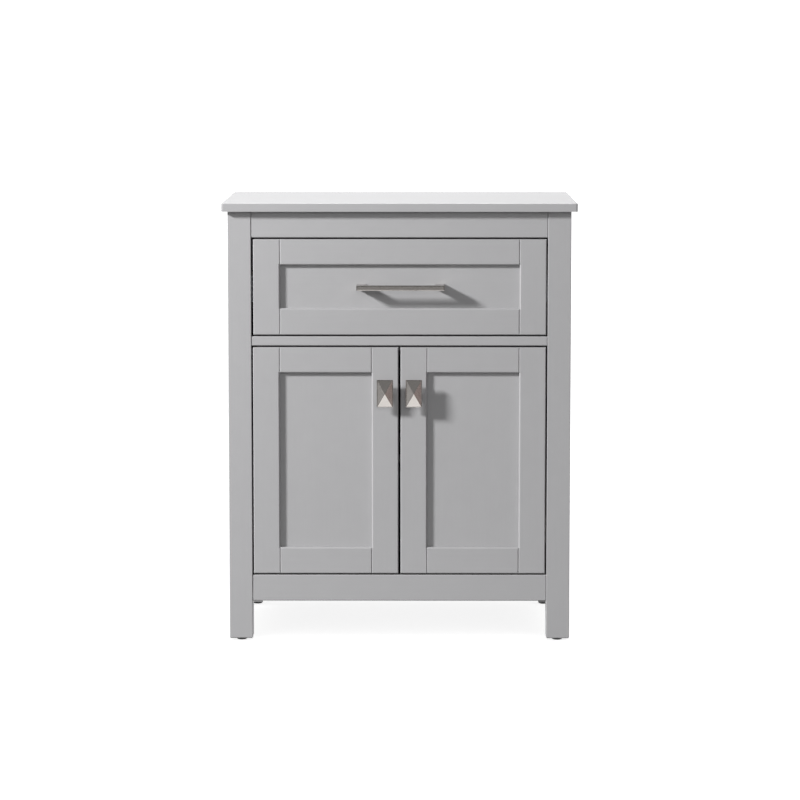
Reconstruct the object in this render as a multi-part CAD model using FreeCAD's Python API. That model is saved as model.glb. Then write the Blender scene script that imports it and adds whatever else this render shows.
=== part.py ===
import FreeCAD, Part
import math
import os

# A free-standing bathroom vanity cabinet: four square legs joined by front, side and rear rails, shaker doors
# and a drawer front set flush in the face, panelled sides, a dovetailed drawer on telescopic slides, and two
# doors on concealed cup hinges. Millimetres, +Z up, the front faces -Y, and the origin lies on the floor at
# the middle of the plan. The left-hand pieces are drawn, and the right-hand ones are their mirror images.

V = FreeCAD.Vector

# ---- driving dimensions -------------------------------------------------------------------------------
top_width, top_depth, top_thick = 610.0, 406.0, 14.3
total_height = 762.0
body_width = 590.0
top_front_overhang = 15.0
glide_height = 5.0
leg = 40.0
board = 20.0
gap = 2.6
drawer_side_gap, drawer_shift = 3.0, 0.6
hinge_gap = 2.6
meeting_gap = 3.8
rail_setback = 1.0

drawer_opening = (532.3, 702.3)
door_opening = (116.5, 516.0)
skirt_bottom = 70.9

frame_member, top_member = 46.0, 44.6
recess = 9.0
panel_thick = 6.0
groove_depth = 5.0
panel_bite = 4.5
inner_bevel = 2.3
joint_bevel = 1.4

pull_length, pull_height, pull_bar_depth = 150.6, 8.8, 8.0
pull_shift = 1.8
pull_projection = 40.0
knob_width, knob_height, knob_projection = 27.9, 47.3, 30.0
knob_below_door_top = 78.0

drawer_box_z = (547.0, 679.0)
drawer_box_depth = 330.0

# ---- positions worked out from them -------------------------------------------------------------------
body_depth = top_depth - top_front_overhang
pull_proud = pull_projection - recess
plan_depth = body_depth + pull_proud
face = -plan_depth / 2 + pull_proud
back = plan_depth / 2
under_top = total_height - top_thick
half = body_width / 2
inner = half - leg
drawer_low, drawer_high = drawer_opening[0] + gap, drawer_opening[1] - gap
door_low, door_high = door_opening[0] + gap, door_opening[1] - gap
TOUCH = 1e-4


# ---- helpers ------------------------------------------------------------------------------------------
def block(x, y, z):
    """A box from three (low, high) pairs."""
    return Part.makeBox(x[1] - x[0], y[1] - y[0], z[1] - z[0], V(x[0], y[0], z[0]))


def rod(radius, start, end):
    """A round bar from one point to another."""
    start, end = V(*start), V(*end)
    return Part.makeCylinder(radius, (end - start).Length, start, end - start)


def joined(*shapes):
    """The shapes fused to one solid with no seams left in its faces."""
    return shapes[0].fuse(list(shapes[1:])).removeSplitter()


def prism(outline, axis, low, high):
    """A flat outline, given in the two other axes in order, extruded along axis from low to high."""
    place = {"x": lambda a, b: V(low, a, b), "y": lambda a, b: V(a, low, b), "z": lambda a, b: V(a, b, low)}
    points = [place[axis](a, b) for a, b in outline]
    along = {"x": V(1, 0, 0), "y": V(0, 1, 0), "z": V(0, 0, 1)}[axis]
    return Part.Face(Part.makePolygon(points + points[:1])).extrude(along * (high - low))


def edges_in_plane(shape, axis, value):
    """The edges that lie wholly in the plane axis = value."""
    return [e for e in shape.Edges if all(abs(getattr(v.Point, axis) - value) < TOUCH for v in e.Vertexes)]


def bevelled(shape, axis, value, size=joint_bevel):
    """Bevels the edges all round the face that lies in the plane axis = value."""
    return shape.makeChamfer(size, edges_in_plane(shape, axis, value))


def long_edges(shape, axis):
    """The straight edges that run along an axis."""
    other = [a for a in "xyz" if a != axis]
    found = []
    for edge in shape.Edges:
        a, b = edge.Vertexes[0].Point, edge.Vertexes[-1].Point
        if all(abs(getattr(a, k) - getattr(b, k)) < TOUCH for k in other):
            found.append(edge)
    return found


def mirrored(shape):
    """The right-hand twin of a left-hand piece."""
    return shape.mirror(V(0, 0, 0), V(1, 0, 0))


def save(node, *solids):
    """Writes one sub-part's STEP file. A node may hold several separate solids."""
    shape = solids[0] if len(solids) == 1 else Part.makeCompound(list(solids))
    for solid in shape.Solids:
        assert solid.isValid() and solid.Volume > 0, node
    shape.exportStep(os.path.join("parts", node + ".step"))


def save_pair(left_node, right_node, *solids):
    """Writes a left-hand sub-part and its mirror image."""
    save(left_node, *solids)
    save(right_node, *[mirrored(s) for s in solids])


# ---- legs, rails and panels of the carcass ------------------------------------------------------------
tenon_thick, tenon_length = 10.0, 12.0
tenon_shoulder, thin_rail_shoulder = 8.0, 3.0
carcass_groove = 6.0
leg_round, foot_chamfer = 1.2, 1.5
nail_radius, nail_length = 1.2, 12.0
side_rail_in = half - board
side_panel_out = half - recess
side_panel_in = side_panel_out - panel_thick
back_panel = (back - recess - panel_thick, back - recess)
skirt = (skirt_bottom, door_opening[0])
frieze = (drawer_opening[1], under_top)
mid_rail = (door_opening[1], drawer_opening[0])
front_tenon = (face + (board - tenon_thick) / 2, face + (board + tenon_thick) / 2)
rear_tenon = (back - (board + tenon_thick) / 2, back - (board - tenon_thick) / 2)
side_tenon = (-half + (board - tenon_thick) / 2, -half + (board + tenon_thick) / 2)


def tenon_height(rail):
    """The (low, high) of a rail's tenon inside the rail's own height."""
    shoulder = tenon_shoulder if rail[1] - rail[0] > 3 * tenon_shoulder else thin_rail_shoulder
    return rail[0] + shoulder, rail[1] - shoulder


def cross_rail(rail, y, tenon_y, show):
    """A rail that runs from leg to leg along X, with a tenon at each end. show is the Y of its outer face."""
    body = bevelled(block((-inner, inner), y, rail), "y", show)
    tenons = block((-inner - tenon_length, inner + tenon_length), tenon_y, tenon_height(rail))
    return joined(body, tenons)


def side_rail(rail):
    """A rail of the left side, from the front leg to the rear leg, with a tenon at each end."""
    y = (face + leg, back - leg)
    body = bevelled(block((-half, -side_rail_in), y, rail), "x", -half)
    tenons = block(side_tenon, (y[0] - tenon_length, y[1] + tenon_length), tenon_height(rail))
    return joined(body, tenons)


side_panel_y = (face + leg - carcass_groove, back - leg + carcass_groove)
side_panel_z = (skirt[1] - carcass_groove, frieze[0] + carcass_groove)
side_panel = block((-side_panel_out, -side_panel_in), side_panel_y, side_panel_z)
back_board = block((-inner - carcass_groove, inner + carcass_groove), back_panel, side_panel_z)

# The front rails sit a little behind the legs, the drawer front and the doors, which are flush.
rail_y = (face + rail_setback, face + board)
rails = {
    "front_top_rail": cross_rail(frieze, rail_y, front_tenon, rail_y[0]),
    "front_mid_rail": cross_rail(mid_rail, rail_y, front_tenon, rail_y[0]),
    "front_bottom_rail": cross_rail(skirt, rail_y, front_tenon, rail_y[0]),
    "rear_top_rail": cross_rail(frieze, (back - board, back), rear_tenon, back).cut(back_board),
    "rear_bottom_rail": cross_rail(skirt, (back - board, back), rear_tenon, back).cut(back_board),
}
side_top_rail = side_rail(frieze).cut(side_panel)
side_bottom_rail = side_rail(skirt).cut(side_panel)

# Wall fixing: two clear holes in the rear top rail, a usual stud spacing apart.
wall_hole_radius, wall_hole_spacing, wall_hole_z = 2.5, 406.0, 714.0
for x in (-wall_hole_spacing / 2, wall_hole_spacing / 2):
    hole = rod(wall_hole_radius, (x, back - board - 1, wall_hole_z), (x, back + 1, wall_hole_z))
    rails["rear_top_rail"] = rails["rear_top_rail"].cut(hole)


def square_leg(y_low, glide_x):
    """A left-hand leg with rounded long edges, a chamfered foot and the hole for its glide's nail."""
    x = (-half, -inner)
    post = block(x, (y_low, y_low + leg), (glide_height, under_top))
    post = post.makeChamfer(foot_chamfer, edges_in_plane(post, "z", glide_height))
    post = post.makeFillet(leg_round, long_edges(post, "z"))
    nail = (glide_x, y_low + leg / 2)
    return post.cut(rod(nail_radius, (*nail, 0), (*nail, glide_height + nail_length)))


# The front glides are under the middle of their legs, and the rear ones near the inner edge of theirs.
front_glide_x, rear_glide_x = -half + leg / 2, -inner - 10.0
front_leg = square_leg(face, front_glide_x)
for name in ("front_top_rail", "front_mid_rail", "front_bottom_rail"):
    front_leg = front_leg.cut(rails[name])
front_leg = front_leg.cut([side_top_rail, side_bottom_rail, side_panel])
rear_leg = square_leg(back - leg, rear_glide_x)
rear_leg = rear_leg.cut([rails["rear_top_rail"], rails["rear_bottom_rail"], back_board])
rear_leg = rear_leg.cut([side_top_rail, side_bottom_rail, side_panel])

# ---- top, cupboard floor, battens and corner blocks ---------------------------------------------------
top_corner_round, top_arris = 3.0, 1.5
floor_thick = 15.0
batten_x = (-side_panel_in, -inner)
slide_z = (drawer_box_z[0] + drawer_box_z[1]) / 2
slide_batten_z = (slide_z - 30.0, slide_z + 30.0)
hinge_cleat_depth, hinge_cleat_top = 60.0, 530.0
corner_reach, corner_thick = 60.0, 20.0
screw_clearance = 0.1

top = block((-top_width / 2, top_width / 2), (face - top_front_overhang, back), (under_top, total_height))
top = top.makeFillet(top_corner_round, long_edges(top, "z"))
top = top.makeFillet(top_arris, edges_in_plane(top, "z", total_height))

floor_z = (door_opening[0] - floor_thick, door_opening[0])
cupboard_floor = block((-side_rail_in, side_rail_in), (face + board, back - board), floor_z)
for x in ((-side_rail_in, -inner), (inner, side_rail_in)):
    for y in ((face + board, face + leg), (back - leg, back - board)):
        cupboard_floor = cupboard_floor.cut(block(x, y, floor_z))

slide_batten = block(batten_x, (face + leg, back - leg), slide_batten_z)
hinge_cleat_y = (face + leg, face + leg + hinge_cleat_depth)
hinge_cleat = block(batten_x, hinge_cleat_y, (door_opening[0], hinge_cleat_top))


def corner_block(y_rail, y_leg, way):
    """A left-hand corner block that ties the rails and carries the top. way is +1 at the front, -1 behind."""
    outline = [
        (-inner, y_rail),
        (-inner + corner_reach, y_rail),
        (-side_rail_in, y_leg + way * corner_reach),
        (-side_rail_in, y_leg),
        (-inner, y_leg),
    ]
    return prism(outline, "z", under_top - corner_thick, under_top)


top_screw_radius, top_screw_head, top_screw_head_thick, top_screw_bite = 2.0, 4.0, 2.0, 11.0
top_screw_inset = 18.0


def top_screw(y_rail, way):
    """A screw up through a corner block into the top, and the hole that it needs."""
    x, y = -inner + top_screw_inset, y_rail + way * top_screw_inset
    low, high = under_top - corner_thick, under_top + top_screw_bite
    head = rod(top_screw_head, (x, y, low - top_screw_head_thick), (x, y, low))
    shank = rod(top_screw_radius, (x, y, low), (x, y, high))
    hole = rod(top_screw_radius + screw_clearance, (x, y, low), (x, y, high + screw_clearance))
    return joined(head, shank), hole


front_block = corner_block(face + board, face + leg, 1)
rear_block = corner_block(back - board, back - leg, -1)
front_top_screw, front_top_hole = top_screw(face + board, 1)
rear_top_screw, rear_top_hole = top_screw(back - board, -1)
front_block = front_block.cut(front_top_hole)
rear_block = rear_block.cut(rear_top_hole)
for hole in (front_top_hole, rear_top_hole):
    top = top.cut([hole, mirrored(hole)])

# ---- foot glides --------------------------------------------------------------------------------------
glide_radius, glide_round = 9.5, 3.5
glides = []
for x, y in ((front_glide_x, face + leg / 2), (rear_glide_x, back - leg / 2)):
    dome = rod(glide_radius, (x, y, 0), (x, y, glide_height))
    dome = dome.makeFillet(glide_round, edges_in_plane(dome, "z", 0.0))
    nail = rod(nail_radius - screw_clearance, (x, y, glide_height), (x, y, glide_height + nail_length))
    glide = joined(dome, nail)
    glides += [glide, mirrored(glide)]

# ---- adjustable shelf on four pins --------------------------------------------------------------------
shelf_low, shelf_thick, shelf_setback, shelf_play = 307.0, 15.0, 48.0, 1.0
pin_radius, pin_hole_radius, pin_bite, pin_reach = 2.45, 2.5, 9.0, 8.0
spoon_width, spoon_thick = 12.0, 1.5
pin_pitch, pin_rows = 32.0, (-1, 0, 1)
pin_ys = (face + leg + hinge_cleat_depth - 15.0, back - leg / 2 - 4.0)

shelf_y = (face + shelf_setback, back - board - shelf_play)
shelf_z = (shelf_low, shelf_low + shelf_thick)
shelf = block((-side_panel_in + shelf_play, side_panel_in - shelf_play), shelf_y, shelf_z)
shelf_notches = [
    (shelf_y[0] - 1, face + leg + hinge_cleat_depth + shelf_play),
    (back - leg - shelf_play, shelf_y[1] + 1),
]
for notch_y in shelf_notches:
    notch = block((-half, -inner + shelf_play), notch_y, (shelf_z[0] - 1, shelf_z[1] + 1))
    shelf = shelf.cut([notch, mirrored(notch)])
shelf = bevelled(shelf, "y", shelf_y[0])

shelf_pins = []
pin_z = shelf_low - pin_radius
for y in pin_ys:
    pin = rod(pin_radius, (-inner - pin_bite, y, pin_z), (-inner + pin_reach, y, pin_z))
    spoon_y = (y - spoon_width / 2, y + spoon_width / 2)
    spoon = block((-inner + shelf_play, -inner + pin_reach), spoon_y, (shelf_low - spoon_thick, shelf_low))
    pin = joined(pin, spoon)
    shelf_pins += [pin, mirrored(pin)]
    for row in pin_rows:
        z = pin_z + row * pin_pitch
        hole = rod(pin_hole_radius, (-inner - pin_bite - 1, y, z), (-inner + 1, y, z))
        hinge_cleat = hinge_cleat.cut(hole)
        rear_leg = rear_leg.cut(hole)


# ---- shaker fronts: two stiles, two rails and a panel -------------------------------------------------
def shaker_front(x, z):
    """The five pieces of a front that fills x and z, as a dict. The stiles run through, and each rail's stub
    tenons share the groove that holds the panel."""
    hole_x = (x[0] + frame_member, x[1] - frame_member)
    hole_z = (z[0] + frame_member, z[1] - top_member)
    y = (face, face + board)
    groove_y = (face + recess, face + recess + panel_thick)
    groove = block(
        (hole_x[0] - groove_depth, hole_x[1] + groove_depth),
        groove_y,
        (z[0] - 1, z[1] + 1),
    )
    rail_groove = block(hole_x, groove_y, (hole_z[0] - groove_depth, hole_z[1] + groove_depth))
    bevel = Part.makeWedge(
        hole_x[0] - inner_bevel, face, hole_z[0] - inner_bevel,
        hole_z[0], hole_x[0],
        hole_x[1] + inner_bevel, face + inner_bevel, hole_z[1] + inner_bevel,
        hole_z[1], hole_x[1],
    )
    pieces = {}
    for side, span in (("left_stile", (x[0], hole_x[0])), ("right_stile", (hole_x[1], x[1]))):
        stile = bevelled(block(span, y, z), "y", face)
        pieces[side] = stile.cut([groove, bevel])
    for side, span in (("top_rail", (hole_z[1], z[1])), ("bottom_rail", (z[0], hole_z[0]))):
        rail = bevelled(block(hole_x, y, span), "y", face)
        stubs = block((hole_x[0] - groove_depth, hole_x[1] + groove_depth), groove_y, span)
        pieces[side] = joined(rail, stubs).cut([rail_groove, bevel])
        # The stub tenons stop where the panel's groove begins, so that the panel's corner has room.
        for end in ((hole_x[0] - groove_depth, hole_x[0]), (hole_x[1], hole_x[1] + groove_depth)):
            pieces[side] = pieces[side].cut(
                block(end, groove_y, (hole_z[0] - groove_depth, hole_z[1] + groove_depth))
            )
    pieces["panel"] = block(
        (hole_x[0] - panel_bite, hole_x[1] + panel_bite),
        groove_y,
        (hole_z[0] - panel_bite, hole_z[1] + panel_bite),
    )
    pieces["panel_back"] = block(hole_x, (groove_y[1], face + board), hole_z)
    return pieces


def pan_head_screw(tip, head_at, radius, head_radius, head_thick, way):
    """A pan-head screw. head_at is where its head's underside sits, and way points from tip to head."""
    tip, head_at, way = V(*tip), V(*head_at), V(*way)
    shank = Part.makeCylinder(radius, (head_at - tip).Length, tip, way)
    head = Part.makeCylinder(head_radius, head_thick, head_at, way)
    head = head.makeFillet(head_thick / 2, [head.Edges[0]])
    return joined(shank, head)


# ---- drawer -------------------------------------------------------------------------------------------
slide_thick = 12.7
drawer_board, drawer_bottom_thick = 12.0, 6.0
drawer_box_y = (face + board, face + board + drawer_box_depth)
drawer_bottom_low = drawer_box_z[0] + 11.0
bottom_bite = 5.5
box_half = inner - slide_thick
tail_count, tail_root, tail_tip = 4, 15.0, 20.0
machine_screw, machine_head, machine_head_thick = 2.0, 4.5, 2.4
pull_screw_spacing, pull_screw_bite = 128.0, 14.0
front_screw_inset = 60.0

# The front sits a little to the right in its opening, and the pull a little to the right on the front.
drawer_front_x = (-inner + drawer_side_gap + drawer_shift, inner - drawer_side_gap + drawer_shift)
drawer_front = shaker_front(drawer_front_x, (drawer_low, drawer_high))
drawer_panel = joined(drawer_front["panel"], drawer_front["panel_back"])

drawer_bottom = block(
    (-box_half + drawer_board - bottom_bite, box_half - drawer_board + bottom_bite),
    (drawer_box_y[0] + drawer_board - bottom_bite, drawer_box_y[1] - drawer_board + bottom_bite),
    (drawer_bottom_low, drawer_bottom_low + drawer_bottom_thick),
)


def dovetail_tails(y_root, y_tip):
    """The dovetails on one end of a drawer side, wider at the tip than at the root."""
    pitch = (drawer_box_z[1] - drawer_box_z[0]) / tail_count
    tails = []
    for n in range(tail_count):
        middle = drawer_box_z[0] + pitch * (n + 0.5)
        outline = [
            (y_root, middle - tail_root / 2),
            (y_tip, middle - tail_tip / 2),
            (y_tip, middle + tail_tip / 2),
            (y_root, middle + tail_root / 2),
        ]
        tails.append(prism(outline, "x", -box_half, -box_half + drawer_board))
    return tails


front_tails = dovetail_tails(drawer_box_y[0] + drawer_board, drawer_box_y[0])
back_tails = dovetail_tails(drawer_box_y[1] - drawer_board, drawer_box_y[1])
side_y = (drawer_box_y[0] + drawer_board, drawer_box_y[1] - drawer_board)
drawer_side = block((-box_half, -box_half + drawer_board), side_y, drawer_box_z)
drawer_side = joined(drawer_side, *front_tails, *back_tails).cut(drawer_bottom)
drawer_box_front = block((-box_half, box_half), (drawer_box_y[0], side_y[0]), drawer_box_z)
drawer_box_back = block((-box_half, box_half), (side_y[1], drawer_box_y[1]), drawer_box_z)
for tails, name in ((front_tails, "front"), (back_tails, "back")):
    cutters = tails + [mirrored(t) for t in tails] + [drawer_bottom]
    if name == "front":
        drawer_box_front = drawer_box_front.cut(cutters)
    else:
        drawer_box_back = drawer_box_back.cut(cutters)

# The pull is a square bar on two wide posts, and its front face is bevelled all round.
pull_z = (drawer_low + frame_member + drawer_high - top_member) / 2
pull_post_width, pull_bevel = 16.0, 1.5
pull_front = face + recess - pull_projection
pull_x = (pull_shift - pull_length / 2, pull_shift + pull_length / 2)
pull_height_z = (pull_z - pull_height / 2, pull_z + pull_height / 2)
pull = block(pull_x, (pull_front, pull_front + pull_bar_depth), pull_height_z)
pull = pull.makeChamfer(pull_bevel, edges_in_plane(pull, "y", pull_front))
for x in ((pull_x[0], pull_x[0] + pull_post_width), (pull_x[1] - pull_post_width, pull_x[1])):
    pull = joined(pull, block(x, (pull_front + pull_bar_depth, face + recess), pull_height_z))

drawer_screws = []
for x in (pull_shift - pull_screw_spacing / 2, pull_shift + pull_screw_spacing / 2):
    tip = (x, face + recess - pull_screw_bite, pull_z)
    head_at = (x, side_y[0], pull_z)
    screw = pan_head_screw(tip, head_at, machine_screw, machine_head, machine_head_thick, (0, 1, 0))
    hole_end = (x, tip[1] - screw_clearance, pull_z)
    hole = rod(machine_screw + screw_clearance, hole_end, (x, side_y[0] + 1, pull_z))
    drawer_screws.append(screw)
    pull = pull.cut(hole)
    drawer_panel = drawer_panel.cut(hole)
    drawer_box_front = drawer_box_front.cut(hole)

# Wood screws hold the box to the rails of the drawer front, from inside the box.
front_screw_radius, front_screw_bite = 1.8, 12.0
front_screw_z = {"bottom_rail": drawer_box_z[0] + 24.0, "top_rail": drawer_box_z[1] - 8.0}
for x in (-box_half + front_screw_inset, box_half - front_screw_inset):
    for side, z in front_screw_z.items():
        tip = (x, face + board - front_screw_bite, z)
        head_at = (x, side_y[0], z)
        screw = pan_head_screw(tip, head_at, front_screw_radius, machine_head, machine_head_thick, (0, 1, 0))
        hole_end = (x, tip[1] - screw_clearance, z)
        hole = rod(front_screw_radius + screw_clearance, hole_end, (x, side_y[0] + 1, z))
        drawer_screws.append(screw)
        drawer_front[side] = drawer_front[side].cut(hole)
        drawer_box_front = drawer_box_front.cut(hole)

# ---- telescopic slides: three nested channels a side --------------------------------------------------
slide_y = (face + board + 2.0, face + 352.0)
sheet = 1.2


def channel(web, depth, half_height, y, lip=0.0):
    """A C section along Y on the left side. web and depth are distances from the leg's inner face to the two
    sides of the section, and lip turns the flanges' free edges inwards."""
    x = sorted((-inner + web, -inner + depth))
    thick = sheet if depth > web else -sheet
    skin_x = sorted((-inner + web, -inner + web + thick))
    skin = block(skin_x, y, (slide_z - half_height, slide_z + half_height))
    pieces = [skin]
    for way in (-1, 1):
        edge = slide_z + way * half_height
        pieces.append(block(x, y, sorted((edge, edge - way * sheet))))
        if lip:
            lip_x = sorted((-inner + depth, -inner + depth - thick))
            pieces.append(block(lip_x, y, sorted((edge, edge - way * lip))))
    return joined(*pieces)


cabinet_member = channel(0.0, 10.0, 22.5, slide_y, lip=2.4)
middle_member = channel(4.0, 11.2, 18.8, (slide_y[0], slide_y[1] - 4.0))
drawer_member = channel(slide_thick, 6.4, 14.0, (slide_y[0], slide_y[1] - 6.0))

# Three flat-headed screws hold each cabinet member to its batten, and three more hold each drawer member to
# the box.
slide_screw_radius, slide_screw_head, slide_head_thick = 1.8, 3.6, 1.5
slide_screw_at, slide_screw_bite = (28.0, 160.0, 292.0), 9.5
slide_hole = slide_screw_radius + screw_clearance
slide_cabinet_screws = []
for at in slide_screw_at:
    y = slide_y[0] + at
    tip, web = -inner - slide_screw_bite, -inner + sheet
    start, end = (tip, y, slide_z), (web, y, slide_z)
    slide_cabinet_screws.append(
        pan_head_screw(start, end, slide_screw_radius, slide_screw_head, slide_head_thick, (1, 0, 0))
    )
    hole = rod(slide_hole, (tip - screw_clearance, y, slide_z), (web + 1, y, slide_z))
    slide_batten = slide_batten.cut(hole)
    cabinet_member = cabinet_member.cut(hole)
    tip, web = -box_half + slide_screw_bite, -box_half - sheet
    start, end = (tip, y, slide_z), (web, y, slide_z)
    screw = pan_head_screw(start, end, slide_screw_radius, slide_screw_head, slide_head_thick, (-1, 0, 0))
    drawer_screws += [screw, mirrored(screw)]
    hole = rod(slide_hole, (tip + screw_clearance, y, slide_z), (web - 1, y, slide_z))
    drawer_side = drawer_side.cut(hole)
    drawer_member = drawer_member.cut(hole)

# ---- doors --------------------------------------------------------------------------------------------
door_x = (-inner + hinge_gap, -meeting_gap / 2)
door = shaker_front(door_x, (door_low, door_high))

# The cup hinge has one pin. It lies near the door's front face and well in from its edge, so that the edge
# turns clear of the leg as the door swings.
pin_from_edge, pin_from_face = 25.0, 10.0
hinge_x, hinge_y = door_x[0] + pin_from_edge, face + pin_from_face
hinge_zs = (door_low + 70.0, door_high - 70.0)
cup_from_edge, cup_radius, cup_depth, cup_wall = 21.5, 17.5, 14.5, 0.8
flange_radius, flange_thick, wing_half_width, wing_half_height = 19.5, 0.9, 9.0, 30.0
cup_screw_offset, cup_screw_radius, cup_screw_bite = 24.0, 1.8, 12.0
lug_half_width, lug_top, lug_span = 4.0, 3.5, (7.2, 9.2)
pin_r, pin_fit, pin_in_lug_fit, knuckle_radius, knuckle_half = 1.5, 0.05, 0.02, 3.0, 6.8
neck_angle, neck_radii, neck_end_angle, neck_thick, neck_half = 48.0, (28.5, 31.0), 138.0, 2.5, 6.0
arm_x, arm_y, arm_half, arm_wall = (2.3, 9.5), (22.5, 66.0), 7.0, 1.6
arm_channel_y = 34.0
plate_thick, plate_y, plate_half = 2.0, (37.0, 57.0), 27.0
rib_high, rib_y, rib_half = 7.2, (36.0, 62.0), 5.1
plate_screw_z, plate_screw_radius, plate_screw_bite = 16.0, 1.8, 12.0
arm_screw_y, arm_screw_radius, arm_screw_head = 56.0, 1.9, 3.4
screw_head, screw_head_thick = 3.6, 1.6
cup_screw_hole = cup_screw_radius + screw_clearance
plate_screw_hole = plate_screw_radius + screw_clearance
arm_screw_hole = arm_screw_radius + screw_clearance

door_back = face + board
cup_x = door_x[0] + cup_from_edge
plate_corner, wing_corner = 4.0, 5.0
plate_middle = hinge_y + (plate_y[0] + plate_y[1]) / 2
arm_screw_at = hinge_y + arm_screw_y


def hinge_cup(z):
    """A pressed cup with a flange, two wings and two lugs that hold the pin."""
    floor_y = door_back - cup_depth
    pot = rod(cup_radius, (cup_x, floor_y, z), (cup_x, door_back, z))
    flange = rod(flange_radius, (cup_x, door_back, z), (cup_x, door_back + flange_thick, z))
    wings = block(
        (cup_x - wing_half_width, cup_x + wing_half_width),
        (door_back, door_back + flange_thick),
        (z - wing_half_height, z + wing_half_height),
    )
    wings = wings.makeFillet(wing_corner, long_edges(wings, "y"))
    hollow = rod(cup_radius - cup_wall, (cup_x, floor_y + cup_wall, z), (cup_x, door_back + 5, z))
    cup = joined(pot, flange, wings).cut(hollow)
    for way in (-1, 1):
        lug = block(
            (hinge_x - lug_half_width, hinge_x + lug_half_width),
            (floor_y + cup_wall - 0.2, hinge_y + lug_top),
            sorted((z + way * lug_span[0], z + way * lug_span[1])),
        )
        cup = joined(cup, lug)
        at = z + way * cup_screw_offset
        cup = cup.cut(rod(cup_screw_hole, (cup_x, door_back - 1, at), (cup_x, door_back + 3, at)))
    bore_half = lug_span[1] + 1
    bore = rod(pin_r + pin_in_lug_fit, (hinge_x, hinge_y, z - bore_half), (hinge_x, hinge_y, z + bore_half))
    return cup.cut(bore)


def hinge_pin(z):
    return rod(pin_r, (hinge_x, hinge_y, z - lug_span[1]), (hinge_x, hinge_y, z + lug_span[1]))


def hinge_arm(z):
    """A fixed arm that reaches round the door's edge and into the cup to carry the pin."""
    low, high = z - neck_half, z + neck_half
    knuckle = rod(knuckle_radius, (hinge_x, hinge_y, z - knuckle_half), (hinge_x, hinge_y, z + knuckle_half))
    turn = V(0, 0, 1)
    spoke = block((0, (neck_radii[0] + neck_radii[1]) / 2), (-neck_thick / 2, neck_thick / 2), (low, high))
    spoke.rotate(V(0, 0, 0), turn, neck_angle)
    spoke.translate(V(hinge_x, hinge_y, 0))
    sweep = neck_end_angle - neck_angle
    ring = Part.makeCylinder(neck_radii[1], high - low, V(0, 0, low), turn, sweep)
    ring = ring.cut(Part.makeCylinder(neck_radii[0], high - low + 2, V(0, 0, low - 1)))
    ring.rotate(V(0, 0, 0), turn, neck_angle)
    ring.translate(V(hinge_x, hinge_y, 0))
    body_x = (-inner + arm_x[0], -inner + arm_x[1])
    body = block(body_x, (hinge_y + arm_y[0], hinge_y + arm_y[1]), (z - arm_half, z + arm_half))
    channel_x = (body_x[0] - 1, body_x[1] - arm_wall)
    trough_y = (hinge_y + arm_channel_y, hinge_y + arm_y[1] + 1)
    trough = block(channel_x, trough_y, (z - arm_half + arm_wall, z + arm_half - arm_wall))
    bore_half = knuckle_half + 1
    bore = rod(pin_r + pin_fit, (hinge_x, hinge_y, z - bore_half), (hinge_x, hinge_y, z + bore_half))
    screw_hole = rod(arm_screw_hole, (body_x[0], arm_screw_at, z), (body_x[1] + 1, arm_screw_at, z))
    return joined(body.cut(trough), ring, spoke, knuckle).cut([bore, screw_hole])


def hinge_plate(z):
    """The plate that is screwed to the cleat, with the rib that the arm slides over."""
    x = (-inner, -inner + plate_thick)
    plate = block(x, (hinge_y + plate_y[0], hinge_y + plate_y[1]), (z - plate_half, z + plate_half))
    plate = plate.makeFillet(plate_corner, long_edges(plate, "x"))
    x = (-inner, -inner + rib_high)
    rib = block(x, (hinge_y + rib_y[0], hinge_y + rib_y[1]), (z - rib_half, z + rib_half))
    made = joined(plate, rib)
    hole_end = (-inner + rib_high + 1, arm_screw_at, z)
    made = made.cut(rod(arm_screw_hole, (-inner + 1, arm_screw_at, z), hole_end))
    for way in (-1, 1):
        at = z + way * plate_screw_z
        hole_end = (-inner + plate_thick + 1, plate_middle, at)
        made = made.cut(rod(plate_screw_hole, (-inner - 1, plate_middle, at), hole_end))
    return made


cabinet_screws = [front_top_screw, rear_top_screw, *slide_cabinet_screws]
for z in hinge_zs:
    for way in (-1, 1):
        at = z + way * plate_screw_z
        tip = (-inner - plate_screw_bite, plate_middle, at)
        head_at = (-inner + plate_thick, plate_middle, at)
        screw = pan_head_screw(tip, head_at, plate_screw_radius, screw_head, screw_head_thick, (1, 0, 0))
        cabinet_screws.append(screw)
        hole_end = (tip[0] - screw_clearance, plate_middle, at)
        hinge_cleat = hinge_cleat.cut(rod(plate_screw_hole, hole_end, (-inner + 1, plate_middle, at)))
    tip, head_at = (-inner + plate_thick, arm_screw_at, z), (-inner + arm_x[1], arm_screw_at, z)
    screw = pan_head_screw(tip, head_at, arm_screw_radius, arm_screw_head, screw_head_thick, (1, 0, 0))
    cabinet_screws.append(screw)

cups = [hinge_cup(z) for z in hinge_zs]
pins = [hinge_pin(z) for z in hinge_zs]
arms = [hinge_arm(z) for z in hinge_zs]
plates = [hinge_plate(z) for z in hinge_zs]
door_screws = []
for z in hinge_zs:
    pocket = rod(cup_radius, (cup_x, door_back - cup_depth, z), (cup_x, door_back + 1, z))
    door["left_stile"] = door["left_stile"].cut(pocket)
    for way in (-1, 1):
        at = z + way * cup_screw_offset
        tip = (cup_x, door_back - cup_screw_bite, at)
        head_at = (cup_x, door_back + flange_thick, at)
        screw = pan_head_screw(tip, head_at, cup_screw_radius, screw_head, screw_head_thick, (0, 1, 0))
        door_screws.append(screw)
        hole_end = (cup_x, tip[1] - screw_clearance, at)
        door["left_stile"] = door["left_stile"].cut(rod(cup_screw_hole, hole_end, (cup_x, door_back + 1, at)))

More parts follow.
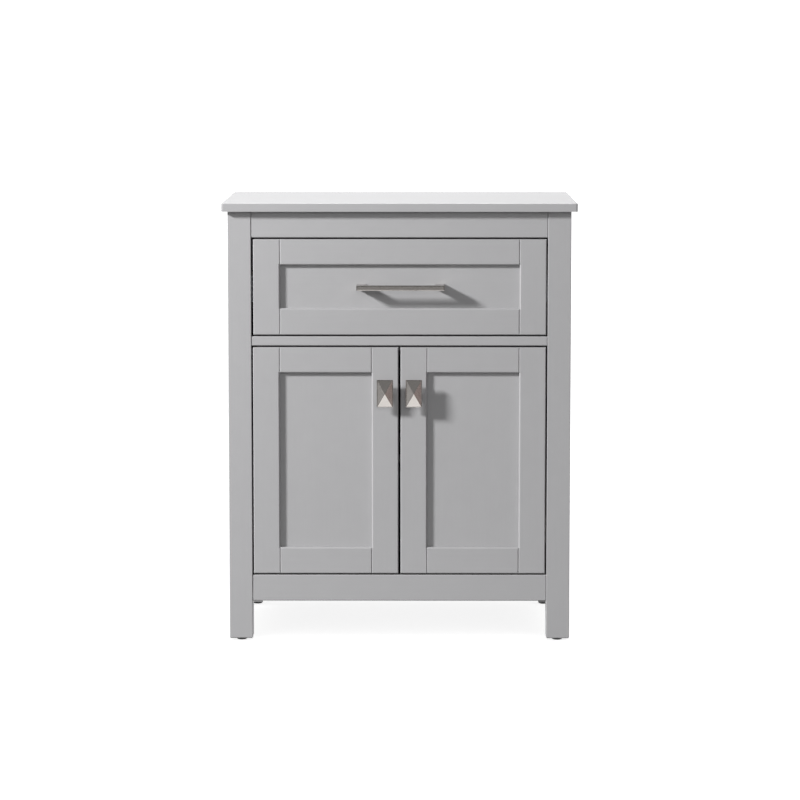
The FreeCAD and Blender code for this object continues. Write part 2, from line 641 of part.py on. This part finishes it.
# The knob is a plate with a bevelled rim under a low four-sided pyramid, on a round stem.
knob_rim, knob_plate, knob_pyramid, stem_radius, stem_foot_radius, stem_foot = 1.6, 4.0, 9.0, 6.0, 8.0, 3.0
knob_x = door_x[1] - frame_member / 2
knob_z = door_high - knob_below_door_top
knob_screw_bite = 14.0
plate_front = face - knob_projection + knob_pyramid
knob_span_x = (knob_x - knob_width / 2, knob_x + knob_width / 2)
knob_span_z = (knob_z - knob_height / 2, knob_z + knob_height / 2)
tip_size = 0.15
knob = block(knob_span_x, (plate_front, plate_front + knob_plate), knob_span_z)
knob = bevelled(knob, "y", plate_front, knob_rim)
pyramid = Part.makeWedge(
    knob_x - tip_size, face - knob_projection, knob_z - tip_size,
    knob_span_z[0] + knob_rim, knob_span_x[0] + knob_rim,
    knob_x + tip_size, plate_front, knob_z + tip_size,
    knob_span_z[1] - knob_rim, knob_span_x[1] - knob_rim,
)
stem = rod(stem_radius, (knob_x, plate_front + knob_plate, knob_z), (knob_x, face, knob_z))
foot = rod(stem_foot_radius, (knob_x, face - stem_foot, knob_z), (knob_x, face, knob_z))
knob = joined(knob, pyramid, stem, foot)
knob_hole = rod(
    machine_screw + screw_clearance,
    (knob_x, face - knob_screw_bite - screw_clearance, knob_z),
    (knob_x, door_back + 1, knob_z),
)
knob = knob.cut(knob_hole)
door["right_stile"] = door["right_stile"].cut(knob_hole)
door_screws.append(
    pan_head_screw(
        (knob_x, face - knob_screw_bite, knob_z),
        (knob_x, door_back, knob_z),
        machine_screw,
        machine_head,
        machine_head_thick,
        (0, 1, 0),
    )
)

# A strip behind the middle rail stops both doors flush with the face.
stop_half_length, stop_thick, stop_drop, stop_relief = 140.0, 12.0, 10.0, 0.5
stop_upper = block((-stop_half_length, stop_half_length), (door_back, door_back + stop_thick), mid_rail)
stop_lower = block(
    (-stop_half_length, stop_half_length),
    (door_back + stop_relief, door_back + stop_thick),
    (mid_rail[0] - stop_drop, mid_rail[0]),
)
door_stop = joined(stop_upper, stop_lower)

# ---- write every sub-part -----------------------------------------------------------------------------
os.makedirs("parts", exist_ok=True)
for node, shape in rails.items():
    save(node, shape)
save_pair("front_left_leg", "front_right_leg", front_leg)
save_pair("rear_left_leg", "rear_right_leg", rear_leg)
save_pair("left_top_side_rail", "right_top_side_rail", side_top_rail)
save_pair("left_bottom_side_rail", "right_bottom_side_rail", side_bottom_rail)
save_pair("left_side_panel", "right_side_panel", side_panel)
save("back_panel", back_board)
save("top_panel", top)
save("cupboard_floor", cupboard_floor)
save("side_battens", slide_batten, mirrored(slide_batten), hinge_cleat, mirrored(hinge_cleat))
save("corner_blocks", *[s for b in (front_block, rear_block) for s in (b, mirrored(b))])
save("cabinet_screws", *[s for b in cabinet_screws for s in (b, mirrored(b))])
save("leg_glides", *glides)
save("shelf", shelf)
save("shelf_pins", *shelf_pins)
save("door_stop_strip", door_stop)
save("hinge_arms", *[s for b in arms for s in (b, mirrored(b))])
save("hinge_mounting_plates", *[s for b in plates for s in (b, mirrored(b))])
save("slide_cabinet_members", cabinet_member, mirrored(cabinet_member))
save("slide_middle_members", middle_member, mirrored(middle_member))
save("slide_drawer_members", drawer_member, mirrored(drawer_member))

for side in ("left_stile", "right_stile", "top_rail", "bottom_rail"):
    save("drawer_front_" + side, drawer_front[side])
save("drawer_front_panel", drawer_panel)
save_pair("drawer_left_side", "drawer_right_side", drawer_side)
save("drawer_box_front", drawer_box_front)
save("drawer_box_back", drawer_box_back)
save("drawer_bottom", drawer_bottom)
save("drawer_pull", pull)
save("drawer_screws", *drawer_screws)

door_pieces = {
    "hinge_stile": [door["left_stile"]],
    "lock_stile": [door["right_stile"]],
    "top_rail": [door["top_rail"]],
    "bottom_rail": [door["bottom_rail"]],
    "panel": [door["panel"]],
    "knob": [knob],
    "hinge_cups": cups,
    "hinge_pins": pins,
    "screws": door_screws,
}
for piece, solids in door_pieces.items():
    save_pair("left_door_" + piece, "right_door_" + piece, *solids)
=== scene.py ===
import math

import bmesh
import bpy
from mathutils import Matrix, Vector


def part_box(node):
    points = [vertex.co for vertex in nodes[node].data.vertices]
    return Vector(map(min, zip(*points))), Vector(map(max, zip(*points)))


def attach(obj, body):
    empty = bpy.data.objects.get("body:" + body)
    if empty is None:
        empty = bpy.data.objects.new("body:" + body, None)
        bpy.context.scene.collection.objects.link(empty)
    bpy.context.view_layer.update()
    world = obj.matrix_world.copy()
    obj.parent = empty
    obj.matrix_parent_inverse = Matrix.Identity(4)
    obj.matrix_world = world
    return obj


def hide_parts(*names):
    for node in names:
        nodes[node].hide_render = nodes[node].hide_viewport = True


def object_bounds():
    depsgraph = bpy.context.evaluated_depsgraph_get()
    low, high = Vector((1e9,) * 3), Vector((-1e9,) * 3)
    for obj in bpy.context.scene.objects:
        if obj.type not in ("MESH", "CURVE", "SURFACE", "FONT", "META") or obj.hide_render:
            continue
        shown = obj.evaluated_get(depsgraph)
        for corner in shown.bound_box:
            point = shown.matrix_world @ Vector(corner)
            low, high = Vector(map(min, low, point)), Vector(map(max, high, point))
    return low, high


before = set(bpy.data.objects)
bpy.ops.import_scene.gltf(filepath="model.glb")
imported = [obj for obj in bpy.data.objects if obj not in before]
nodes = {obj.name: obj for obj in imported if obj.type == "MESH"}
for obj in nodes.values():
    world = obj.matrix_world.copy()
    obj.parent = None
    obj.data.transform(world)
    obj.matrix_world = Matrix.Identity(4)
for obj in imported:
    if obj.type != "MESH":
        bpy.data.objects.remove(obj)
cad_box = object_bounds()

# ---- Legs ---------------------------------------------------------------------------------------------
# Four square hardwood posts, mortised for the rails and grooved for the panels. They are sprayed with satin
# light grey lacquer over primer, which leaves a fine orange peel and lets the grain show a little.
GREY = 0.33
GREY_SPREAD = 0.012
AXES = {"x": 0, "y": 1, "z": 2}


class Signal:
    """One output in a material's node tree. Arithmetic on it adds Math nodes to the same tree."""

    def __init__(self, tree, socket=None):
        self.tree, self.socket = tree, socket

    def node(self, kind, settings, sockets, output=0):
        """Adds any node: its settings come first, then the values or signals of its sockets."""
        made = self.tree.nodes.new("ShaderNode" + kind)
        for name, value in settings.items():
            if name == "stops":
                for stop, (place, colour) in zip(made.color_ramp.elements, value):
                    stop.position, stop.color = place, (*colour, 1)
            else:
                setattr(made, name, value)
        for key, value in sockets.items():
            if isinstance(value, Signal):
                self.tree.links.new(value.socket, made.inputs[key])
            else:
                made.inputs[key].default_value = value
        return Signal(self.tree, made.outputs[output])

    def _math(self, operation, *values):
        return self.node("Math", {"operation": operation}, dict(enumerate(values)))

    def __add__(self, other):
        return self._math("ADD", self, other)

    def __sub__(self, other):
        return self._math("SUBTRACT", self, other)

    def __mul__(self, other):
        return self._math("MULTIPLY", self, other)

    __radd__, __rmul__ = __add__, __mul__

    def clamped(self):
        return self.node("Math", {"operation": "ADD", "use_clamp": True}, {0: self, 1: 0.0})

    def stretched(self, along, keep):
        """This point with one axis shortened to keep, which draws a texture on it out along that axis."""
        scale = [1.0, 1.0, 1.0]
        scale[AXES[along]] = keep
        return self.node("VectorMath", {"operation": "MULTIPLY"}, {0: self, 1: scale})

    def noise(self, scale, detail=2.0, roughness=0.5):
        sockets = {"Vector": self, "Scale": scale, "Detail": detail, "Roughness": roughness}
        return self.node("TexNoise", {}, sockets)

    def mixed(self, first, second):
        """One colour turning to another as this value goes from 0 to 1."""
        return self.node("Mix", {"data_type": "RGBA"}, {0: self, 6: first, 7: second}, 2)

    def tones(self, *stops):
        """A colour ramp over this value, from (place, colour) pairs."""
        return self.node("ValToRGB", {"stops": stops}, {0: self})


def material(name, **fixed):
    """A new material, its shader with the fixed values set, and the point on the piece in metres."""
    made = bpy.data.materials.new(name)
    made.use_nodes = True
    shader = made.node_tree.nodes["Principled BSDF"]
    for socket, value in fixed.items():
        shader.inputs[socket.replace("_", " ")].default_value = value
    return made, shader, Signal(made.node_tree).node("TexCoord", {}, {}, "Object")


def feed(shader, relief, depth, strength, **signals):
    """Joins signals to the shader's sockets, and a height signal to its normal through a Bump node."""
    normal = relief.node("Bump", {}, {"Height": relief, "Distance": depth, "Strength": strength})
    for socket, signal in {**signals, "Normal": normal}.items():
        signal.tree.links.new(signal.socket, shader.inputs[socket.replace("_", " ")])


def grey_tone(level):
    """A nearly neutral grey, a touch cool, as linear colour."""
    return (level, level * 0.994, level * 1.014)


def paint(name, along):
    """Satin grey lacquer on wood whose grain runs along one axis."""
    made, shader, place = material(name, Coat_Weight=0.12, Coat_Roughness=0.22, Specular_IOR_Level=0.5)
    cloud = place.noise(2.6, 2.0)
    mottle = place.noise(34.0, 3.0)
    grain = place.stretched(along, 0.035).noise(420.0, 3.0, 0.62)
    peel = place.noise(640.0, 1.5)
    level = cloud * 0.45 + mottle * 0.3 + grain * 0.25
    low, high = grey_tone(GREY - GREY_SPREAD), grey_tone(GREY + GREY_SPREAD)
    colour = level.tones((0.3, low), (0.7, high))
    rough = 0.37 + cloud * 0.05 + peel * 0.05
    feed(shader, peel * 0.6 + grain * 0.4, 0.00012, 0.32, Base_Color=colour, Roughness=rough)
    return made


def dress(finish, *names):
    """Gives CAD nodes their finish."""
    for name in names:
        mesh = nodes[name].data
        mesh.materials.clear()
        mesh.materials.append(finish)


upright_paint = paint("upright_paint", "z")
dress(upright_paint, "front_left_leg", "front_right_leg", "rear_left_leg", "rear_right_leg")

# ---- Rails ----------------------------------------------------------------------------------------------
# The front, rear and side rails are tenoned into the legs before painting. The grain of the front and rear
# ones runs from side to side, and that of the side ones from front to back.
level_paint = paint("level_paint", "x")
deep_paint = paint("deep_paint", "y")
dress(level_paint, "front_top_rail", "front_mid_rail", "front_bottom_rail")
dress(level_paint, "rear_top_rail", "rear_bottom_rail")
for side in ("left", "right"):
    dress(deep_paint, side + "_top_side_rail", side + "_bottom_side_rail")

# ---- Side panels, back panel and top --------------------------------------------------------------------
# Thin panels lie loose in grooves in the legs and rails. The top is one board with rounded arrises, screwed
# down from below. All are painted like the frame.
dress(upright_paint, "left_side_panel", "right_side_panel", "back_panel")
dress(level_paint, "top_panel")

# ---- Cupboard floor, shelf and stop strip ---------------------------------------------------------------
# Boards sprayed in the same grey. The floor is notched round the legs, the shelf lies on four pins, and the
# strip behind the middle rail stops the doors.
dress(level_paint, "cupboard_floor", "shelf", "door_stop_strip")

# ---- Battens and corner blocks --------------------------------------------------------------------------
# Bare planed poplar, glued inside the frame to carry the slides, the hinges and the top. The sawn ends show
# their growth rings.
RING_SCALE, RING_WANDER = 55.0, 3.0
END_CUT_IN, END_OFFSET = 6.0, 4.0
END_DARK, END_LIGHT = 0.6, 0.85


def timber(name, along, dark, light, rough, pores):
    """Wood with its grain along one axis: long figure, fine pores, and darker ends with growth rings."""
    made, shader, place = material(name, Specular_IOR_Level=0.35)
    long_figure = place.stretched(along, 0.06)
    figure = long_figure.noise(38.0, 4.0, 0.55)
    streak = long_figure.noise(260.0, 3.0, 0.6)
    pore = place.stretched(along, 0.03).noise(1500.0, 2.0, 0.7)
    level = (figure * 0.6 + streak * 0.28 + pore * 0.12 * pores).clamped()
    side_colour = level.tones((0.32, dark), (0.68, light))
    ring_settings = {"wave_type": "RINGS", "rings_direction": along.upper()}
    ring_sockets = {"Vector": place, "Scale": RING_SCALE, "Distortion": RING_WANDER}
    rings = place.node("TexWave", ring_settings, ring_sockets)
    end_level = rings * 0.6 + pore * 0.4
    end_dark, end_light = [c * END_DARK for c in dark], [c * END_LIGHT for c in light]
    end_colour = end_level.tones((0.2, end_dark), (0.8, end_light))
    normal = place.node("TexCoord", {}, {}, "Normal")
    facing = normal.node("SeparateXYZ", {}, {"Vector": normal}, AXES[along])
    is_end = (facing * facing * END_CUT_IN - END_OFFSET).clamped()
    feed(
        shader,
        streak * 0.5 + pore * 0.5,
        0.0002,
        0.35,
        Base_Color=is_end.mixed(side_colour, end_colour),
        Roughness=rough + streak * 0.12 + is_end * 0.1,
    )
    return made


POPLAR = ((0.36, 0.27, 0.15), (0.56, 0.45, 0.28))
dress(timber("poplar_upright", "z", *POPLAR, 0.62, 1.0), "side_battens")
dress(timber("poplar_level", "x", *POPLAR, 0.62, 1.0), "corner_blocks")

# ---- Foot glides ----------------------------------------------------------------------------------------
# Black moulded plastic domes, one nailed under each leg. Their moulds were spark-eroded, so they are dull
# and finely pitted.


def moulded_plastic(name, level):
    """Moulded plastic with a fine spark-eroded texture."""
    made, shader, place = material(name, Specular_IOR_Level=0.4)
    spark = place.noise(2400.0, 2.0)
    cloud = place.noise(60.0, 2.0)
    colour = cloud.tones((0.3, (level * 0.8,) * 3), (0.7, (level * 1.3,) * 3))
    feed(shader, spark, 0.00008, 0.5, Base_Color=colour, Roughness=0.46 + spark * 0.12)
    return made


dress(moulded_plastic("black_plastic", 0.024), "leg_glides")

# ---- Drawer front ---------------------------------------------------------------------------------------
# Two stiles, two rails and a panel, the rails stub-tenoned between the stiles and the panel held in their
# groove. The edges are bevelled, so that each joint shows as a fine dark line beside a pale one.
dress(upright_paint, "drawer_front_left_stile", "drawer_front_right_stile")
dress(level_paint, "drawer_front_top_rail", "drawer_front_bottom_rail", "drawer_front_panel")

# ---- Drawer box -----------------------------------------------------------------------------------------
# Solid birch sides, dovetailed to the front and back, with a thin bottom in a groove. It has a clear lacquer,
# and screws hold it to the drawer front from inside.
BIRCH = ((0.50, 0.36, 0.21), (0.72, 0.56, 0.37))
dress(timber("birch_deep", "y", *BIRCH, 0.4, 0.6), "drawer_left_side", "drawer_right_side")
dress(timber("birch_level", "x", *BIRCH, 0.4, 0.6), "drawer_box_front", "drawer_box_back", "drawer_bottom")

# ---- Drawer slides --------------------------------------------------------------------------------------
# Three nested channels a side, rolled from zinc-plated strip. Screws hold the outer one to a batten and the
# inner one to the drawer's side. The shelf pins have the same plating.


def plated_steel(name, colours, rough, along, flecks):
    """Plated steel: fine rolling lines along one axis, and flecks where the plating's crystals differ."""
    made, shader, place = material(name, Metallic=1.0)
    lines = place.stretched(along, 0.02).noise(1800.0, 2.0, 0.6)
    fleck = place.noise(flecks, 3.0, 0.6)
    level = fleck * 0.6 + lines * 0.4
    colour = level.tones((0.35, colours[0]), (0.65, colours[1]))
    feed(shader, lines, 0.00002, 0.12, Base_Color=colour, Roughness=rough + lines * 0.06 + fleck * 0.04)
    return made


ZINC = ((0.46, 0.49, 0.53), (0.63, 0.66, 0.70))
zinc = plated_steel("zinc_plating", ZINC, 0.26, "y", 90.0)
dress(zinc, "slide_cabinet_members", "slide_middle_members", "slide_drawer_members", "shelf_pins")

# ---- Drawer pull ----------------------------------------------------------------------------------------
# A cast bar with a bevelled face on two posts, satin nickel over a lengthwise brushing.
NICKEL = ((0.515, 0.485, 0.46), (0.555, 0.525, 0.50))
dress(plated_steel("satin_nickel_level", NICKEL, 0.16, "x", 120.0), "drawer_pull")

# ---- Doors ----------------------------------------------------------------------------------------------
# Each has two stiles, two rails and a panel, made like the drawer front. A pair of concealed hinges sits on
# the outer stile, and a knob on the other.
knob_nickel = plated_steel("satin_nickel_upright", NICKEL, 0.16, "z", 120.0)
hinge_steel = plated_steel("hinge_plating", ((0.50, 0.49, 0.47), (0.66, 0.65, 0.63)), 0.22, "z", 150.0)
for side in ("left", "right"):
    door = side + "_door_"
    dress(upright_paint, door + "hinge_stile", door + "lock_stile", door + "panel")
    dress(level_paint, door + "top_rail", door + "bottom_rail")
    dress(knob_nickel, door + "knob")
    dress(hinge_steel, door + "hinge_cups", door + "hinge_pins")
dress(hinge_steel, "hinge_arms", "hinge_mounting_plates")

# ---- Screws ---------------------------------------------------------------------------------------------
# Zinc-plated steel with rolled pan heads and a pressed cross recess. Each is driven into its own hole, so no
# two recesses point the same way.
SCREW_STEPS, ROUND_STEPS = 28, 4
TIP_LENGTH, TIP_WIDTH = 1.8, 0.25
HEAD_ROUNDING = 0.6
CROSS_ARM, CROSS_HALF_WIDTH, CROSS_DEPTH = 0.56, 0.12, 0.7
CROSS_ARM_TAPER, CROSS_WIDTH_TAPER = 0.5, 0.75
GOLDEN_TURN = 2.4
SHARP_EDGE = math.radians(35)


def separate_solids(node):
    """The points of each separate solid of a CAD node."""
    built = bmesh.new()
    built.from_mesh(nodes[node].data)
    bmesh.ops.remove_doubles(built, verts=built.verts, dist=1e-6)
    solids, seen = [], set()
    for start in built.verts:
        if start in seen:
            continue
        seen.add(start)
        solid, waiting = [], [start]
        while waiting:
            vert = waiting.pop()
            solid.append(vert.co.copy())
            for edge in vert.link_edges:
                other = edge.other_vert(vert)
                if other not in seen:
                    seen.add(other)
                    waiting.append(other)
        solids.append(solid)
    built.free()
    return solids


def screw_sizes(points):
    """Where one screw's tip and head top are, its shank and head radii, and how thick its head is."""
    low = Vector([min(p[n] for p in points) for n in range(3)])
    high = Vector([max(p[n] for p in points) for n in range(3)])
    along = max(range(3), key=lambda n: high[n] - low[n])
    middle = (low + high) / 2

    def reach(point):
        off = point - middle
        off[along] = 0.0
        return off.length

    lower = max(reach(p) for p in points if p[along] < middle[along])
    upper = max(reach(p) for p in points if p[along] > middle[along])
    ends = [middle.copy(), middle.copy()]
    ends[0][along], ends[1][along] = low[along], high[along]
    tip, top = ends if upper > lower else reversed(ends)
    shank, head = sorted((lower, upper))
    thick = max(abs(p[along] - top[along]) for p in points if reach(p) > (shank + head) / 2)
    return tip, top, shank, head, thick


def screw_mesh(built, tip, top, shank, head, thick, turn):
    """Adds a screw with a tapered tip, a rounded head and a cross recess."""
    length = (top - tip).length
    round_off = thick * HEAD_ROUNDING
    rings = [(0.0, shank * TIP_WIDTH), (shank * TIP_LENGTH, shank)]
    rings += [(length - thick, shank), (length - thick, head)]
    for n in range(ROUND_STEPS + 1):
        angle = math.pi / 2 * n / ROUND_STEPS
        rings.append((length - round_off * (1 - math.sin(angle)), head - round_off * (1 - math.cos(angle))))
    loops = []
    for height, radius in rings:
        angles = [math.tau * n / SCREW_STEPS for n in range(SCREW_STEPS)]
        loops.append([built.verts.new((radius * math.cos(a), radius * math.sin(a), height)) for a in angles])
    for lower, upper in zip(loops, loops[1:]):
        for n in range(SCREW_STEPS):
            m = (n + 1) % SCREW_STEPS
            built.faces.new((lower[n], lower[m], upper[m], upper[n]))
    built.faces.new(reversed(loops[0]))
    arm_at_rim, half_at_rim = CROSS_ARM * head, CROSS_HALF_WIDTH * head
    crosses = []
    for height, arm, half in (
        (length, arm_at_rim, half_at_rim),
        (length - thick * CROSS_DEPTH, arm_at_rim * CROSS_ARM_TAPER, half_at_rim * CROSS_WIDTH_TAPER),
    ):
        corner = [(arm, -half), (arm, half), (half, half)]
        outline = []
        for _ in range(4):
            outline += corner
            corner = [(-y, x) for x, y in corner]
        crosses.append([built.verts.new((x, y, height)) for x, y in outline])
    rim, floor_of_cross = crosses
    count = len(rim)
    for n in range(count):
        m = (n + 1) % count
        built.faces.new((floor_of_cross[n], floor_of_cross[m], rim[m], rim[n]))
    built.faces.new(floor_of_cross)
    border = []
    for loop in (loops[-1], rim):
        border += [built.edges.get((a, b)) for a, b in zip(loop, loop[1:] + loop[:1])]
    bmesh.ops.triangle_fill(built, edges=border, use_beauty=True, normal=(0, 0, 1))
    aim = (top - tip).to_track_quat("Z", "X").to_matrix().to_4x4()
    place = Matrix.Translation(tip) @ aim @ Matrix.Rotation(turn, 4, "Z")
    bmesh.ops.transform(built, matrix=place, verts=[v for loop in loops + crosses for v in loop])


for body in ("cabinet", "drawer", "left_door", "right_door"):
    node = body + "_screws"
    built = bmesh.new()
    for n, points in enumerate(separate_solids(node)):
        screw_mesh(built, *screw_sizes(points), n * GOLDEN_TURN)
    bmesh.ops.recalc_face_normals(built, faces=built.faces)
    mesh = bpy.data.meshes.new(body + "_screw_set")
    built.to_mesh(mesh)
    built.free()
    mesh.shade_smooth()
    mesh.set_sharp_from_angle(angle=SHARP_EDGE)
    mesh.materials.append(zinc)
    screws = bpy.data.objects.new(body + "_screw_set", mesh)
    bpy.context.scene.collection.objects.link(screws)
    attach(screws, body)
    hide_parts(node)

# ---- Studio ---------------------------------------------------------------------------------------------
# A white floor that glows faintly and curves up behind the cabinet. A narrow key light stands high on the
# left, with large soft lights in front and above, two behind, dim cards for the metal to reflect, and a white
# surround. The front light itself shows in no reflection, so that the top keeps its grey from behind.
low, high = cad_box
centre = (low + high) / 2
face_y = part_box("front_bottom_rail")[0].y


def cove(front, rear, width, rise, radius):
    """A floor that turns up into a backdrop through a quarter circle."""
    steps = 24
    outline = [(-front, 0.0), (rear - radius, 0.0)]
    for n in range(1, steps + 1):
        turn = math.pi / 2 * n / steps
        outline.append((rear - radius + radius * math.sin(turn), radius * (1 - math.cos(turn))))
    outline.append((rear, rise))
    built = bmesh.new()
    left, right = [[built.verts.new((x, y, z)) for y, z in outline] for x in (-width / 2, width / 2)]
    for a, b, c, d in zip(left, left[1:], right[1:], right):
        built.faces.new((a, d, c, b)).smooth = True
    mesh = bpy.data.meshes.new("studio_floor")
    built.to_mesh(mesh)
    return mesh


def placed(name, data):
    """A new object in the scene."""
    made = bpy.data.objects.new(name, data)
    bpy.context.scene.collection.objects.link(made)
    return made


AMBIENT, FLOOR_GLOW = 0.17, 0.8
WHITE, OFF_WHITE = (1, 1, 1, 1), (0.9, 0.9, 0.9, 1)
floor = placed("studio_floor", cove(front=2.6, rear=8.0, width=4.0, rise=6.0, radius=2.5))
floor_paint, _, _ = material(
    "studio_white",
    Roughness=0.9,
    Specular_IOR_Level=0.1,
    Base_Color=OFF_WHITE,
    Emission_Color=WHITE,
    Emission_Strength=FLOOR_GLOW,
)
floor.data.materials.append(floor_paint)
floor.visible_diffuse = False


def lit(lamp, state):
    """Lets a lamp light only the floor, or everything but the floor."""
    chosen = bpy.data.collections.new(lamp.name + "_receivers")
    chosen.objects.link(floor)
    lamp.light_linking.receiver_collection = chosen
    chosen.collection_objects[0].light_linking.link_state = state


def soft_box(name, way, distance, size, watts):
    """A rectangular soft light. Its first size lies in the plane that holds its direction and the Y axis."""
    way = Vector(way).normalized()
    lamp = placed(name, bpy.data.lights.new(name, "AREA"))
    lamp.data.shape, lamp.data.energy = "RECTANGLE", watts
    lamp.data.size, lamp.data.size_y = size
    outward = Vector((0, -1, 0))
    first = (outward - way * way.dot(outward)).normalized()
    turned = Matrix((first, way.cross(first), way)).transposed()
    lamp.matrix_world = Matrix.Translation(centre + way * distance) @ turned.to_4x4()
    lit(lamp, "EXCLUDE")
    return lamp


soft_box("key_light", (-1.44, -1.0, 0.88), distance=4.0, size=(0.6, 0.34), watts=254.0)
front_light = soft_box("front_light", (0.1, -1.0, 0.3), distance=5.0, size=(1.6, 3.6), watts=55.0)
front_light.visible_glossy = False
soft_box("top_light", (0.0, 0.3, 1.0), distance=2.6, size=(1.3, 1.3), watts=62.0)
soft_box("rear_left_light", (-1.0, 0.6, 0.05), distance=3.0, size=(1.4, 1.4), watts=15.0)
soft_box("rear_right_light", (1.0, 0.6, 0.05), distance=3.0, size=(1.4, 1.4), watts=15.0)
soft_box("low_card", (0.0, -1.0, -0.03), distance=5.0, size=(0.8, 1.6), watts=0.72)
soft_box("high_card", (0.0, -0.79, 0.62), distance=4.0, size=(1.0, 1.6), watts=0.55)
soft_box("left_card", (-1.0, -0.42, -0.02), distance=2.6, size=(1.2, 1.2), watts=0.9)
right_card = soft_box("right_card", (1.0, -0.42, -0.02), distance=2.6, size=(1.2, 1.2), watts=0.55)
right_card.data.color = (1.0, 0.45, 0.36)
floor_light = placed("floor_light", bpy.data.lights.new("floor_light", "SUN"))
floor_light.data.energy, floor_light.data.angle = 1.3, math.radians(90)
shining = Vector((0, 1, -1.2))
floor_light.rotation_euler = shining.to_track_quat("-Z", "Y").to_euler()
lit(floor_light, "INCLUDE")

world = bpy.data.worlds.new("surround")
world.use_nodes = True
surround = world.node_tree
ambient = surround.nodes["Background"]
ambient.inputs["Color"].default_value = WHITE
seen = Signal(surround).node("LightPath", {}, {}, "Is Camera Ray")
strength = seen * (1 - AMBIENT) + AMBIENT
surround.links.new(strength.socket, ambient.inputs["Strength"])
bpy.context.scene.world = world
bpy.context.scene.view_settings.view_transform = "Standard"

# ---- Camera ---------------------------------------------------------------------------------------------
# A long lens, standing back and a little above the cabinet, looking down at the middle of its face.
LENS, SENSOR, REACH = 142.0, 36.0, 50.0
EYE_X, EYE_BACK, EYE_HEIGHT = 0.028, 5.409, 1.045
AIM_X, AIM_HEIGHT = 0.001, 0.4222
camera = placed("camera", bpy.data.cameras.new("camera"))
camera.data.lens, camera.data.sensor_width, camera.data.clip_end = LENS, SENSOR, REACH
camera.location = (EYE_X, face_y - EYE_BACK, EYE_HEIGHT)
target = Vector((AIM_X, face_y, AIM_HEIGHT))
camera.rotation_euler = (target - camera.location).to_track_quat("-Z", "Y").to_euler()
bpy.context.scene.camera = camera
